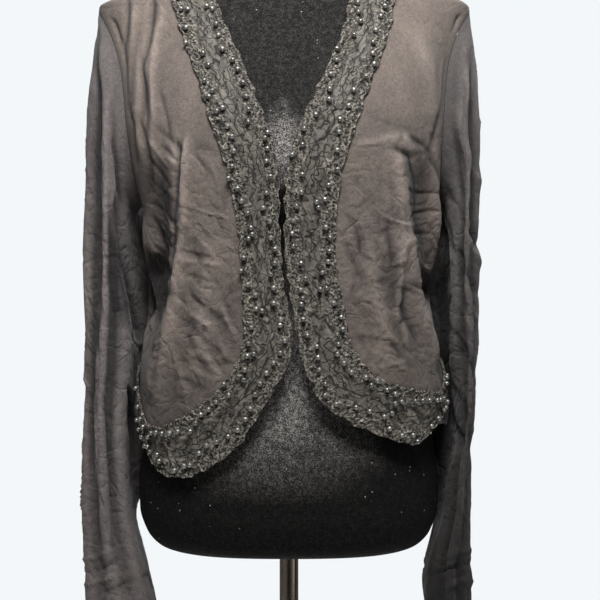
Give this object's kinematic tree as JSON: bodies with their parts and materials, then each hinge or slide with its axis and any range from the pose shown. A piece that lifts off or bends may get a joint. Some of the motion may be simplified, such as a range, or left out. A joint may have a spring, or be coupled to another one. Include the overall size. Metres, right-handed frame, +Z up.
{
  "type": "bolero jacket on a dress form",
  "caption": "short open-front bolero jacket with long sleeves and a beaded scalloped lace edge, worn by a limbless dress form on a stand",
  "frame": {"origin": "middle of the underside of the stand's round base, on the axis of the pole", "axes": "+Z is up, the open front of the jacket faces -Y, +X runs to the viewer's right"},
  "size_m": [0.4209, 0.32, 1.5075],
  "materials": {
    "jersey": "matte soft jersey",
    "lace": "corded lace with glossy beads",
    "velvet": "black velvet",
    "pole": "polished",
    "base": "satin black"
  },
  "bodies": {
    "root": {"front_left": "jersey", "front_right": "jersey", "back": "jersey", "sleeve_left": "jersey", "sleeve_right": "jersey", "lace_left": "lace", "lace_right": "lace", "lace_back_neck": "lace", "lace_back_hem": "lace", "form_torso": "velvet", "stand_pole": "pole", "stand_base": "base"}
  },
  "joints": []
}
